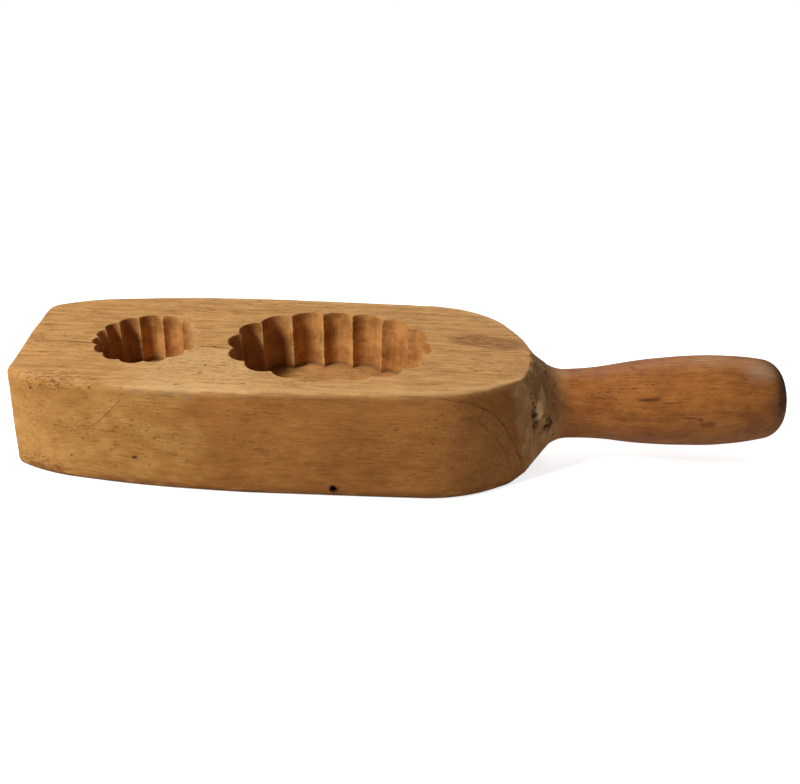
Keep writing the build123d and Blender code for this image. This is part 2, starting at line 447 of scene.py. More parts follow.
@dataclass(frozen=True)
class Pocket:
    """A fluted blind pocket. Its cusps lie on a rounded oval, and a gouge's arcs run from each to the next.
    Millimetres and degrees, placed by distance from the square end and off the long axis."""

    at: float
    offset: float
    half_length: float
    half_width: float
    swell: float
    flutes: int
    turn: float
    bunching: float
    squareness: float
    depth: float
    seed: int
    draft: float = 1.0
    layout_angle: float = -2.2
    rim_radius: float = 0.45
    floor_radius: float = 0.5
    arc_points: int = 12
    wall_levels: int = 34
    floor_rings: int = 12
    uneven: float = 0.18
    ridge_wear: float = 0.55
    ridge_wear_depth: float = 1.1

    def outline(self, outset: Array, ridge_outset: Array) -> Array:
        """The fluted outline at each level, as complex numbers.

        Cusps and crests take turns on the ovals |x/a|^n + |y/b|^n = 1, the crests' larger by the swell, and
        each flute is the circle's arc from cusp to cusp through the crest.

        Args:
            outset: how far the whole outline is moved outwards, for each level.
            ridge_outset: how much further the cusps are moved, where ridges are worn down.
        """
        random = np.random.default_rng(self.seed)
        half_step = np.arange(2 * self.flutes)
        even = math.radians(self.turn) + math.pi * half_step / self.flutes
        angle = even - math.radians(self.bunching) * np.sin(2 * even)
        crest = half_step % 2
        uneven = np.where(crest == 1, random.uniform(-self.uneven, self.uneven, half_step.size), 0.0)
        grow = outset[:, None] + np.where(crest == 1, uneven, ridge_outset[:, None])
        a = self.half_length + self.swell * crest + grow
        b = self.half_width + self.swell * crest + grow
        n = self.squareness
        reach = (np.abs(np.cos(angle) / a) ** n + np.abs(np.sin(angle) / b) ** n) ** (-1 / n)
        points = reach * np.exp(1j * angle)
        first, middle, last = points[:, 0::2], points[:, 1::2], np.roll(points[:, 0::2], -1, axis=1)
        to_middle, to_last = middle - first, last - first
        twice_area = (np.conj(to_middle) * to_last).imag
        crossed = to_middle * abs(to_last) ** 2 - to_last * abs(to_middle) ** 2
        centre = first + 1j * crossed / (2 * twice_area)
        sweep = np.angle((last - centre) / (first - centre))
        share = np.arange(self.arc_points) / self.arc_points
        arcs = centre[..., None] + (first - centre)[..., None] * np.exp(1j * sweep[..., None] * share)
        return arcs.reshape(len(outset), -1)

    def skin(self, face: TopFace) -> Skin:
        """The pocket's walls and floor, closed above the mouth in the top face.

        Levels run from above the mouth, round the worn rim, down the wall, round the floor's corner and in to
        the middle. The gouge's traces ripple the walls, and the floor is a little uneven.
        """
        rim = np.radians([20.0, 45.0, 70.0, 90.0])
        foot = np.radians([0.0, 30.0, 60.0, 90.0])
        down = np.linspace(self.rim_radius, self.depth - self.floor_radius, self.wall_levels)[1:-1]
        level = np.concatenate([[-CUTTER_OVER] * 2, self.rim_radius * (1 - np.cos(rim)), down,
                                self.depth - self.floor_radius * (1 - np.sin(foot))])
        outset = np.concatenate([[0.0, self.rim_radius * 0.7], self.rim_radius * (1 - np.sin(rim)), 0 * down,
                                 -self.floor_radius * (1 - np.cos(foot))])
        outset = outset - np.clip(level, 0, None) * math.tan(math.radians(self.draft))
        worn = self.ridge_wear * np.exp(-np.clip(level, 0, None) / self.ridge_wear_depth)
        flat = self.outline(outset, worn)
        flat[0] *= 0.0
        turn = np.arange(flat.shape[1]) * (2 * math.pi / flat.shape[1])
        traces = Ripples(self.seed + 1, 1.0)(turn[None, :] * self.flutes * 0.9, level[:, None] * 0.03)
        dents = Ripples(self.seed + 2, 5.0)(flat.real, flat.imag, level[:, None] * 0.7)
        flat = flat * (1 + (0.05 * traces + 0.07 * dents) / np.maximum(abs(flat), 5.0))
        shares = np.linspace(1.0, 0.0, self.floor_rings + 1)[1:]
        floor = flat[-1] * shares[:, None]
        flat = np.concatenate([flat, floor])
        level = np.concatenate([level, np.full(len(shares), self.depth)])
        height = np.broadcast_to(-level[:, None], flat.shape).copy()
        bottom = slice(-self.floor_rings - 1, None)
        bumpy = Ripples(self.seed + 3, 9.0)(flat[bottom].real, flat[bottom].imag)
        height[bottom] += 0.16 * bumpy * np.append(1.0, shares)[:, None] ** 0.2

        flat = flat * cmath.exp(1j * math.radians(self.layout_angle))
        along, across = self.at + flat.real, self.offset + flat.imag
        tilt = face.tilt()
        x = face.end_x + along * tilt.real - height * tilt.imag
        z = face.end_height + along * tilt.imag + height * tilt.real
        return Skin(np.stack([x, across, z], axis=-1))

    def masks(self, points: Array, face: TopFace) -> dict["Mask", Array]:
        """Which of the block's points are this pocket's, and which of these are on its floor, on a ridge or
        at the foot of the wall, where dirt and shade are painted.

        A point is turned back into the pocket's own plan and depth, and its reach set against the outline's.

        Args:
            points: one row for each point, in millimetres.
            face: the top face.
        """
        over_x, over_z, tilt = points[:, 0] - face.end_x, points[:, 2] - face.end_height, face.tilt()
        along = over_x * tilt.real + over_z * tilt.imag - self.at
        level = over_x * tilt.imag - over_z * tilt.real
        flat = (along + 1j * (points[:, 1] - self.offset)) * cmath.exp(-1j * math.radians(self.layout_angle))
        outline = self.outline(np.zeros(1), np.zeros(1))[0]
        ridges = np.abs(2 * (np.arange(outline.size) % self.arc_points) / self.arc_points - 1) ** 6
        turns = np.angle(outline)
        reach = np.interp(np.angle(flat), turns, abs(outline), period=2 * math.pi)
        ridge = np.interp(np.angle(flat), turns, ridges, period=2 * math.pi)
        inside = (abs(flat) < reach + 0.8) * smooth_step(level, 0.15, 0.5)
        floor = inside * (level > self.depth - 0.3)
        # The foot of the wall, next to the floor, gets dirt and painted shade through the pit mask.
        foot = inside * smooth_step(level, self.depth - 1.8, self.depth - 0.4) * (abs(flat) > reach - 2.2)
        ridge = inside * ridge * (1 - floor)
        return {Mask.POCKET: inside, Mask.RIDGE: ridge, Mask.FLOOR: floor, Mask.PIT_AND_FOOT_SHADE: 0.5 * foot}


@dataclass(frozen=True)
class Turn:
    """The last bend of one side of the plan: distance back from the joint, and half width."""

    at: float
    half_width: float


@dataclass(frozen=True)
class Band:
    """A round section through the carved shoulder: distance back from the joint, radius, and its centre."""

    at: float
    radius: float
    y: float
    z: float


@dataclass(frozen=True)
class MoldBlock:
    """The boat-shaped block: bowed sides in tangent arcs, a sloping top, worn edges, a shoulder carved to the
    round neck, two fluted pockets and the tenon's socket. Millimetres and degrees."""

    joint: Joint
    length: float = 232.1
    end_height: float = 46.95
    top_slope: float = 1.53
    end_half_width: float = 31.9
    opening_angle: float = 31.5
    bow: tuple[tuple[float, float], ...] = ((27.3, 41.8), (108.4, 46.6), (178.0, 44.0))
    front_turn: Turn = Turn(20.0, 31.9)
    back_turn: Turn = Turn(21.5, 27.7)
    nose_run_out: float = 6.0
    nose_half_width: float = 18.5
    corner_radius: float = 7.0
    base_radius: float = 2.6
    first_band: Band = Band(9.0, 27.1, -6.1, 25.2)
    second_band: Band = Band(22.0, 41.1, -6.6, 30.0)
    arc_counts: tuple[int, ...] = (24, 64, 56, 44, 46)
    hollows: tuple[tuple[float, float, float, float], ...] = (
        (59.6, -5.5, 46.0, 1.8), (55.2, -26.0, 33.5, 3.0), (56.6, -25.0, 28.0, 2.4),
        (62.0, -21.0, 26.0, 2.6), (61.0, 12.0, 40.0, 3.0), (60.0, 19.0, 24.0, 2.6))
    scoops: int = 84
    scoop_ranges: tuple[tuple[float, float], ...] = (
        (44, 64), (-math.pi, math.pi), (0.3, 1.2), (5, 9), (2.4, 4.6))
    pit_depth: float = 1.3
    flight_hole: Triple = (-29.0, -45.9, 4.4)
    flight_hole_reach: float = 1.9
    flight_hole_depth: float = 7.9
    ease_reach: float = 9.0
    arris_radius: float = 1.05
    arris_wear: float = 1.25
    arris_end_wear: float = 0.7
    nick_depth: float = 0.5
    side_inset: float = 0.09
    least_inset: float = 0.02
    top_sink: float = 0.06
    spine_inset: float = 34.0
    arris_uneven: Ripples = Ripples(3, 16.0)
    nicking: Ripples = Ripples(4, 6.5)
    side_waves: Ripples = Ripples(5, 46.0)
    side_tool_marks: Ripples = Ripples(6, 11.0)
    top_waves: Ripples = Ripples(7, 30.0)
    pit_edges: Ripples = Ripples(41, 3.4)
    round_pocket: Pocket = Pocket(53.0, 0.6, 21.0, 21.8, 2.5, 15, 87.7, 5.0, 2.0, 23.0, seed=11)
    oval_pocket: Pocket = Pocket(134.2, -0.8, 41.4, 30.1, 3.6, 16, 11.5, 4.5, 2.18, 26.5, seed=23)

    @property
    def end_x(self) -> float:
        """The square end."""
        return self.joint.x - self.length

    @property
    def face(self) -> TopFace:
        """The top face."""
        return TopFace(self.end_x, self.end_height, math.radians(self.top_slope))

    def top(self, x: Array) -> Array:
        """Height of the top face."""
        return self.end_height + (x - self.end_x) * math.tan(math.radians(self.top_slope))

    def half_plan(self, side: int) -> Array:
        """One side of the plan, from the middle of the square end to the middle of the nose, as x + iy."""
        turn = self.back_turn if side > 0 else self.front_turn
        ends = [complex(0, self.end_half_width), *(complex(*end) for end in self.bow),
                complex(self.length - turn.at, turn.half_width),
                complex(self.length + self.nose_run_out, self.nose_half_width + side * self.joint.y)]
        opening = math.radians(self.opening_angle)
        centre, radius = arc_circle(ends[0], ends[1], opening)
        r = self.corner_radius
        corner = complex(r, centre.imag + math.sqrt((radius - r) ** 2 - (r - centre.real) ** 2))
        end_line = 1j * np.linspace(0, corner.imag, 22)[:-1]
        rounding = corner + r * np.exp(1j * np.linspace(math.pi, cmath.phase(corner - centre), 10))
        bowed = arc_chain(ends, opening, self.arc_counts)
        bowed = bowed[bowed.real > rounding[-1].real + 0.5]
        nose_end = complex(bowed[-1].real + self.nose_run_out, side * self.joint.y)
        nose = np.linspace(bowed[-1], nose_end, 12)[1:]
        path = np.concatenate([end_line, rounding, bowed, nose])
        return self.end_x + path.real + 1j * side * path.imag

    def rows(self) -> tuple[Array, Array]:
        """The block before its nose is carved: the grid's points, and the mask of its top arris.

        Rows run from a line under the middle out to the base arris, up the side, round the worn top arris and
        in again to a line over the middle. Sides and top are a little wavy, always inwards.
        """
        plan = np.concatenate([self.half_plan(-1), self.half_plan(1)[-2:0:-1]])
        along = np.roll(plan, -1) - np.roll(plan, 1)
        outwards = -1j * along / abs(along)
        mirrored = np.roll(plan[::-1], 1)
        ends = self.end_x + self.spine_inset, self.joint.x - self.spine_inset
        spine = np.clip((plan.real + mirrored.real) / 2, *ends) + 0j

        front = smooth_step(-plan.imag, -10, 20)
        worn = self.arris_wear * smooth_step(-plan.real, -46, -16)
        worn = worn + self.arris_end_wear * smooth_step(-plan.real, 60, 140)
        top_radius = self.arris_radius + front * worn + 0.15 * self.arris_uneven(plan.real, plan.imag)
        nicks = smooth_step(self.nicking(plan.real, plan.imag), 0.8, 1.3)
        top_radius = top_radius + self.nick_depth * front * nicks * (1 - smooth_step(plan.real, 30, 40))
        top = self.top(plan.real)

        turn = np.radians(np.linspace(0, QUARTER_TURN, 6))[:, None]
        base_inset, base_z = self.base_radius * (1 - np.sin(turn)), self.base_radius * (1 - np.cos(turn))
        rise = np.linspace(0, 1, 44)[1:-1, None]
        side_z = self.base_radius + rise * (top - top_radius - self.base_radius)
        turn = np.radians(np.linspace(0, QUARTER_TURN, 8))[:, None]
        arris_inset, arris_z = top_radius * (1 - np.cos(turn)), top - top_radius * (1 - np.sin(turn))
        inset = np.concatenate([base_inset + 0 * top, 0 * side_z, arris_inset])
        z = np.concatenate([base_z + 0 * top, side_z, arris_z])
        wave = 0.7 * self.side_waves(plan.real, plan.imag, z * 1.6)
        tool = self.side_tool_marks(plan.real * 0.6, plan.imag * 0.6, z)
        inset = inset + np.maximum(self.side_inset + 0.08 * wave + 0.04 * tool, self.least_inset)
        inset = inset * (1 - smooth_step(plan.real, self.joint.x - 22, self.joint.x + 2))
        wall = plan - inset * outwards

        share = np.linspace(0, 1, 11)[:-1, None]
        under = spine + share * (wall[0] - spine)
        share = np.linspace(1, 0, 30)[1:, None]
        over = spine + share * (wall[-1] - spine)
        over_z = self.top(over.real) - self.top_sink * (1.3 + self.top_waves(over.real, over.imag))
        flat = np.concatenate([under, wall, over])
        heights = np.concatenate([0 * under.real, z, over_z])
        from_arris = np.concatenate([np.full(under.shape, 60.0), np.maximum(top - z, 0) * (inset < 9),
                                     abs(over - wall[-1])])
        arris = np.exp(-((from_arris / 2.2) ** 2))
        return np.stack([flat.real, flat.imag, heights], axis=-1), arris

    def carve(self, points: Array) -> tuple[Array, Array, Array]:
        """Carves the nose: what lies outside two cones that lead to the neck is drawn in to them.

        Next to the neck the cones are scooped by a chisel, each scoop a shallow bowl, and the deepest counts.
        Round the joint the wood is pitted. Past the joint, where it is cut off, the nose only has to close.
        Each scoop has a place along X, one round the axis, a depth, a half length and a half width.

        Returns:
            The points, and the masks of the chiselled part and of the pits.
        """
        x, y, z = (points[..., i].copy() for i in range(3))
        inner, outer, joint = self.first_band, self.second_band, self.joint
        band_x = joint.x - inner.at
        random = np.random.default_rng(31)
        scoops = np.column_stack([random.uniform(*ends, self.scoops) for ends in self.scoop_ranges])
        aside_y, aside_z = y - joint.y, z - joint.z
        shrink = np.minimum(1.0, joint.radius / np.maximum(np.hypot(aside_y, aside_z), TINY))
        plane = joint.plane_x(joint.y + aside_y * shrink, joint.z + aside_z * shrink)
        back = (band_x - x) / (outer.at - inner.at)
        on = np.clip((x - band_x) / np.maximum(plane - band_x, TINY), 0, 1)
        before = x <= band_x
        centre_y, centre_z, limit = (
            np.where(before, middle + back * (far - middle), middle + on * (near - middle))
            for middle, far, near in ((inner.y, outer.y, joint.y), (inner.z, outer.z, joint.z),
                                      (inner.radius, outer.radius, joint.radius)))
        off_y, off_z = y - centre_y, z - centre_z
        reach = np.maximum(np.hypot(off_y, off_z), TINY)
        angle = np.arctan2(off_z, off_y)
        side = np.maximum(smooth_step(self.top(x) - z, 0.6, 3.0), smooth_step(reach - limit, -0.5, 0.3))
        chiselled = smooth_step(x + (z - 25) * 0.24, 43.0, 54.0) * smooth_step(reach, 11.0, 14.0) * side
        scooped = np.zeros(x.shape)
        for at, around, depth, long, wide in scoops:
            aside = (angle - around + math.pi) % (2 * math.pi) - math.pi
            away = ((x - at) / long) ** 2 + (aside * limit / wide) ** 2
            scooped = np.maximum(scooped, depth * (1 - away))
        ragged = self.pit_edges(x, angle * 18, 0 * x)
        pits = np.zeros(x.shape)
        for hollow_x, hollow_y, hollow_z, wide in self.hollows:
            away = ((x - hollow_x) ** 2 + (y - hollow_y) ** 2 + (z - hollow_z) ** 2) / wide**2
            pits = np.maximum(pits, np.exp(-(away**2)) * smooth_step(ragged, -0.6, 0.5))
        scooped = scooped * (1 - smooth_step(x - plane, -5.0, -0.3)) * (1 - 0.6 * smooth_step(y, -6.0, 6.0))
        depth = scooped * chiselled + self.pit_depth * pits * chiselled
        past = reach / (1 + (reach / limit) ** 8) ** 0.125
        softness = 0.9 * smooth_step(plane - x, 0.0, 5.0) + 0.01
        drawn = np.where(x > plane + 2.0, past, smooth_min(reach, limit, softness) - depth)
        y, z = centre_y + off_y * drawn / reach, centre_z + off_z * drawn / reach
        return np.stack([x, y, z], axis=-1), chiselled, pits * chiselled

    def skin(self) -> Skin:
        """The whole outer surface."""
        points, arris = self.rows()
        points, chisel, pits = self.carve(points)
        return Skin(points, {Mask.ARRIS: arris, Mask.CHISEL: chisel, Mask.PIT_AND_FOOT_SHADE: pits})

    def ease_joint(self, mesh: Mesh) -> None:
        """Draws in what stands proud of a hollow curve r + 0.8 d + 0.08 d^2 that leads back from the handle's
        rim, with d the distance from the joint, so that block and handle meet flush."""
        joint, axes = self.joint, self.joint.axes()
        local = (read_points(mesh) - joint.middle) @ axes.T
        back = np.clip(-local[:, 0], 0.0, self.ease_reach)
        limit = joint.radius + 0.8 * back + 0.08 * back**2
        share = np.minimum(1.0, limit / np.maximum(np.hypot(local[:, 1], local[:, 2]), TINY))
        local[:, 1:] *= np.where(local[:, 0] > -self.ease_reach, share, 1.0)[:, None]
        mesh.vertices.foreach_set("co", ((local @ axes + joint.middle) * MM).ravel())

    def worm_hole(self) -> Skin:
        """A beetle's flight hole low on the front."""
        along = np.array([CUTTER_OVER, CUTTER_OVER, -0.2, -5.0, -6.0, -6.3])
        radius = np.array([0.0, 1.6, 1.45, 1.15, 0.8, 0.0])
        round_it = np.linspace(0, 2 * math.pi, 20, endpoint=False)
        ragged = 1 + 0.12 * np.cos(3 * round_it + 1) + 0.08 * np.cos(5 * round_it)
        x = self.flight_hole[0] + radius[:, None] * ragged * np.cos(round_it)
        z = self.flight_hole[2] + radius[:, None] * ragged * np.sin(round_it)
        y = self.flight_hole[1] - along[:, None] + 0 * x
        return Skin(np.stack([x, y, z], axis=-1))

    def mark(self, mesh: Mesh) -> None:
        """Fills in the masks of the pockets and of the flight hole, whose faces have none of their own."""
        points = read_points(mesh)
        hole = self.flight_hole
        from_hole = np.hypot(points[:, 0] - hole[0], points[:, 2] - hole[2])
        in_hole = (from_hole < self.flight_hole_reach) * (points[:, 1] < hole[1] + self.flight_hole_depth)
        found = {Mask.PIT_AND_FOOT_SHADE: in_hole}
        for pocket in (self.round_pocket, self.oval_pocket):
            for mask, values in pocket.masks(points, self.face).items():
                found[mask] = np.maximum(found.get(mask, 0.0), values)
        for mask, values in found.items():
            layer = mesh.attributes[mask.value].data
            before = np.empty(len(points), dtype=np.float32)
            layer.foreach_get("value", before)
            layer.foreach_set("value", np.maximum(before, values).astype(np.float32))

    def build(self, finish: "BlockFinish") -> Object:
        """Makes the piece and dresses it."""
        joint = self.joint
        mesh = self.skin().mesh("mold_block")
        saw_off(mesh, Vector(joint.middle) * MM, Vector(joint.axes()[0]))
        self.ease_joint(mesh)
        cutters = [self.round_pocket.skin(self.face), self.oval_pocket.skin(self.face), joint.socket(),
                   self.worm_hole()]
        piece = make_piece("mold_block", mesh, cutters)
        self.mark(piece.data)
        piece.data.materials.clear()
        piece.data.materials.append(finish.build("block_wood"))
        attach(piece, "root")
        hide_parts("block")
        LOG.info("block: %d faces", len(piece.data.polygons))
        return piece


@dataclass(frozen=True)
class MoldHandle:
    """The turned handle: a hollow flare at the joint, a grip that swells towards its far third, a domed tip
    and the hidden tenon. Millimetres, by distance from the joint."""

    joint: Joint
    neck_at: float = 8.5
    neck_radius: float = 15.65
    hollow_radius: float = 16.0
    turn_at: float = 30.0
    thickest_at: float = 70.5
    thickest_radius: float = 20.5
    corner_at: float = 102.4
    corner_half_width: float = 17.05
    corner_radius: float = 10.0
    length: float = 106.98
    columns: int = 144
    mean_radius: float = 19.0
    pit_depth: float = 0.7
    gouge_at: float = 42.5
    gouge_turn: float = 149.0
    gouge_length: float = 5.5
    gouge_width: float = 1.1
    gouge_depth: float = 0.45
    flattening: Ripples = Ripples(51, 15.0)
    denting: Ripples = Ripples(52, 22.0)
    pitting: Ripples = Ripples(53, 4.0)

    def profile(self) -> Array:
        """Distance along the axis + radius i, from the joint to the tip: arcs, a rounded corner, a dome."""
        neck = complex(self.neck_at, self.neck_radius)
        thickest = complex(self.thickest_at, self.thickest_radius)
        corner, tip = complex(self.corner_at, self.corner_half_width), complex(self.length, 0)
        share = (self.turn_at - self.neck_at) / (self.thickest_at - self.neck_at)
        turn = complex(self.turn_at, self.neck_radius + share * (self.thickest_radius - self.neck_radius))
        back = np.linspace(0, self.neck_at, 16)[:-1]
        hollow = back + 1j * (self.neck_radius + self.hollow_radius
                              - np.sqrt(self.hollow_radius**2 - (self.neck_at - back) ** 2))
        grip = arc_chain([neck, turn, thickest, corner], 0.0, (24, 44, 36))
        side_centre, side_radius = arc_circle(thickest, corner, 0.0)
        dome_centre, dome_radius = arc_circle(tip, corner, math.pi / 2)
        near, far = side_radius - self.corner_radius, dome_radius - self.corner_radius
        between = dome_centre - side_centre
        along = (near**2 - far**2 + abs(between) ** 2) / (2 * abs(between))
        unit = between / abs(between)
        middle = side_centre + unit * (along - 1j * math.sqrt(near**2 - along**2))
        start, stop = cmath.phase(middle - side_centre), cmath.phase(middle - dome_centre)
        rounding = middle + self.corner_radius * np.exp(1j * np.linspace(start, stop, 18))
        grip = grip[grip.real < rounding[0].real - 0.4]
        dome_turn = np.linspace(stop, cmath.phase(tip - dome_centre), 22)[1:]
        return np.concatenate([hollow, grip, rounding, dome_centre + dome_radius * np.exp(1j * dome_turn)])

    def build(self, finish: "HandleFinish") -> Object:
        """Makes the piece, a little flattened by the spokeshave and dented by use, and dresses it."""
        joint = self.joint
        end, thick, chamfer = joint.tenon_length, joint.tenon_radius, joint.tenon_chamfer
        tenon = np.array([complex(-end, 0), complex(-end, thick - chamfer), complex(chamfer - end, thick),
                          complex(0, thick)])
        outside = self.profile()
        outside[-1] = outside[-1].real
        path = np.concatenate([tenon, outside])
        along = path.real[:, None] + np.zeros(self.columns)
        around = np.linspace(0, 2 * math.pi, self.columns, endpoint=False)[None, :]
        shown = smooth_step(path.real, 0.2, 6.0)[:, None]
        y, z = self.mean_radius * np.cos(around), self.mean_radius * np.sin(around)
        flats = self.flattening(along * 0.10, y, z)
        dents = self.denting(along, y, z)
        worn = shown * np.maximum(0.10 * (1.1 + flats) + 0.06 * (1.1 + dents), 0.03)
        ragged = self.pitting(along * 1.2, y * 0.9, z * 0.9)
        pits = smooth_step(ragged, 1.0, 1.5) * smooth_step(-along, -3.0, -0.6) * (path.real > -0.01)[:, None]
        gouge_aside = (around - math.radians(self.gouge_turn)) * self.mean_radius / self.gouge_width
        gouge = np.exp(-(((along - self.gouge_at) / self.gouge_length) ** 2 + gouge_aside**2) ** 2)
        radius = path.imag[:, None] * (1 - worn / 20) - self.pit_depth * pits * shown
        radius = np.maximum(radius - self.gouge_depth * gouge, 0.0)
        radius[: tenon.size] = path.imag[: tenon.size, None]
        masks = {Mask.PIT_AND_FOOT_SHADE: pits + gouge}
        mesh = Skin(joint.turned(along, radius, self.columns), masks).mesh("mold_handle")
        piece = make_piece("mold_handle", mesh, [])
        piece.data.materials.append(finish.build("handle_wood"))
        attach(piece, "root")
        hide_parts("handle")
        LOG.info("handle: %d faces", len(piece.data.polygons))
        return piece


@dataclass(frozen=True)
class Speck:
    """A dark speck or smudge at its own place: centre and half sizes in millimetres, and strength."""

    centre: Triple
    radii: Triple
    strength: float = 0.8


@dataclass(frozen=True)
class Stroke:
    """A scratch, a crack or a fine dark line between two places, in millimetres, and its strength. Distances
    along the axis that its face looks along count less, so that it needn't lie exactly on the surface."""

    start: Triple
    stop: Triple
    half_width: float = 0.4
    strength: float = 0.6
    weights: Triple = (1.0, 0.2, 1.0)


def speck_rows(*rows: tuple[float, ...]) -> tuple[Speck, ...]:
    """Specks from rows of numbers: centre, half sizes and strength."""
    return tuple(Speck(row[:3], row[3:6], row[6]) for row in rows)


def stroke_rows(weights: Triple, *rows: tuple[float, ...]) -> tuple[Stroke, ...]:
    """Strokes of one face from rows of numbers: start, stop, half width and strength."""
    return tuple(Stroke(row[:3], row[3:6], row[6], row[7], weights) for row in rows)


class Wood(Enum):
    """The wood's patterns. Each is noise with that many waves to the millimetre along X, Y and Z, the values
    at which it counts as 0 and as 1, its detail and its roughness."""

    FIBRES = ((0.07, 1.5, 1.5), 0.3, 0.7, 4.0, 0.7)
    DASHES = ((0.16, 1.3, 1.3), 0.54, 0.7, 3.0, 0.65)
    PORES = ((0.35, 2.1, 2.1), 0.65, 0.72, 1.0, 0.4)
    PORE_CROWDS = ((0.02, 0.05, 0.05), 0.4, 0.6, 1.0, 0.5)
    TORN_FLECKS = ((0.3, 1.3, 1.3), 0.62, 0.78, 3.0, 0.7)
    DIRT = ((1.0, 1.5, 1.5), 0.64, 0.74, 3.0, 0.7)
    DIRT_CROWDS = ((0.03, 0.04, 0.04), 0.42, 0.62, 2.0, 0.5)
    STREAKS = ((0.045, 0.6, 0.6), 0.33, 0.67, 3.0, 0.6)
    END_CIRCLES = ((0.2, 1.4, 1.4), 0.35, 0.65, 2.0, 0.5)
    LINE_GAPS = ((0.12, 0.12, 0.12), 0.38, 0.55, 2.0, 0.5)
    KNOT_GAPS = ((0.1, 0.5, 0.5), 0.2, 0.5, 3.0, 0.5)
    WALL_LAYERS = ((0.10, 0.10, 0.8), 0.3, 0.7, 4.0, 0.7)
    WALL_UPRIGHTS = ((0.55, 0.55, 0.05), 0.3, 0.7, 4.0, 0.7)
    WALL_SPECKS = ((0.6, 0.6, 0.9), 0.66, 0.74, 2.0, 0.6)
    RIDGE_WEAR = ((0.4, 0.4, 0.4), 0.4, 0.6, 2.0, 0.5)
    CHISEL_STREAKS = ((1.3, 0.6, 0.12), 0.36, 0.66, 4.0, 0.6)
    CHISEL_PATCHES = ((0.25, 0.12, 0.08), 0.42, 0.62, 2.0, 0.5)
    SWARM = ((0.4, 0.9, 0.9), 0.51, 0.58, 4.0, 0.75)
    BASE_DARKENING = ((0.08, 0.3, 0.4), 0.3, 0.6, 3.0, 0.5)
    SMUDGE = ((0.3, 0.6, 0.9), 0.4, 0.62, 3.0, 0.5)
    TIP_SCUFFS = ((0.5, 0.5, 0.5), 0.4, 0.62, 4.0, 0.7)


@dataclass(frozen=True)
class WoodFinish:
    """What both finishes share: one billet's growth rings and pores, and the marks laid on them. All is read
    in millimetres from the mold's own frame."""

    pith: Triple = (0.0, -171.0, -25.0)
    across: Triple = (0.0, 1.0, 1.0)
    wander_stretch: Triple = (0.011, 0.025, 0.025)
    wander_reach: Triple = (0.0, 15.0, 15.0)
    fleck_shift: Triple = (37.0, 11.0, 5.0)
    bump_strength: float = 0.6
    bump_depth: float = 0.00022
    gloss: float = 0.08
    strokes: tuple[Stroke, ...] = ()

    def place(self, g: Graph) -> Field:
        """The point being shaded, in millimetres."""
        return g.vector("SCALE", g.node("TexCoord", {}, {}).outputs["Object"], Scale=1 / MM)

    def wander(self, g: Graph, place: Field) -> Field:
        """The point moved a few millimetres across the grain, so that rings and fibres wander along X."""
        return g.shake(place, self.wander_stretch, self.wander_reach)

    def pith_distance(self, g: Graph, place: Field) -> Field:
        """Distance from the pith, a line along X below and in front of the mold."""
        off = g.vector("MULTIPLY", g.vector("SUBTRACT", place, self.pith), self.across)
        return g.vector("LENGTH", off, out=1)

    def rings(self, g: Graph, place: Field) -> Field:
        """Uneven growth rings, 0 to 1: noise along the distance from the pith alone."""
        sockets = {"W": self.pith_distance(g, place) * 0.33, "Scale": 1.0, "Detail": 3.0, "Roughness": 0.6}
        noise = g.node("TexNoise", {"noise_dimensions": "1D"}, sockets)
        return g.rise(Field(g, noise.outputs[0]), 0.3, 0.7)

    def pores(self, g: Graph, place: Field) -> Field:
        """Few and dark pores, crowded in some places."""
        return g.wood(place, Wood.PORES) * g.wood(place, Wood.PORE_CROWDS)

    def flecks(self, g: Graph, place: Field) -> Field:
        """Small pale flecks where fibres are ripped."""
        return g.wood(g.vector("ADD", place, self.fleck_shift), Wood.TORN_FLECKS)

    def clouds(self, g: Graph, place: Field, size: float) -> Field:
        """Soft patches of about that size, 0 to 1."""
        return g.rise(g.noise(place, (0.7 / size, 1 / size, 1 / size), 4.0, 0.6), 0.33, 0.67)

    def dirt(self, g: Graph, place: Field) -> Field:
        """Scattered dark specks of all sizes, in loose swarms."""
        return g.wood(place, Wood.DIRT) * g.wood(place, Wood.DIRT_CROWDS)

    def ragged(self, g: Graph, place: Field) -> Field:
        """The point moved a little, which gives specks their ragged edges."""
        return g.shake(place, HALVES, (1.6, 1.6, 1.6))

    def scratch(self, g: Graph, colour: Field, place: Field, paint: Triple) -> Field:
        """Lays the strokes over the colour."""
        return g.coats(colour, *((g.stroke(place, line) * line.strength, paint) for line in self.strokes))

    def close(self, g: Graph, colour: Field, rough: Field, height: Field) -> Material:
        """Feeds the shader and gives back the material."""
        bump = {"Strength": self.bump_strength, "Distance": self.bump_depth, "Height": height}
        shader = g.node("BsdfPrincipled", {}, {
            "Base Color": colour, "Roughness": rough, "Specular IOR Level": self.gloss,
            "Normal": g.node("Bump", {}, bump).outputs[0]})
        g.node("OutputMaterial", {}, {"Surface": shader.outputs[0]})
        return g.owner


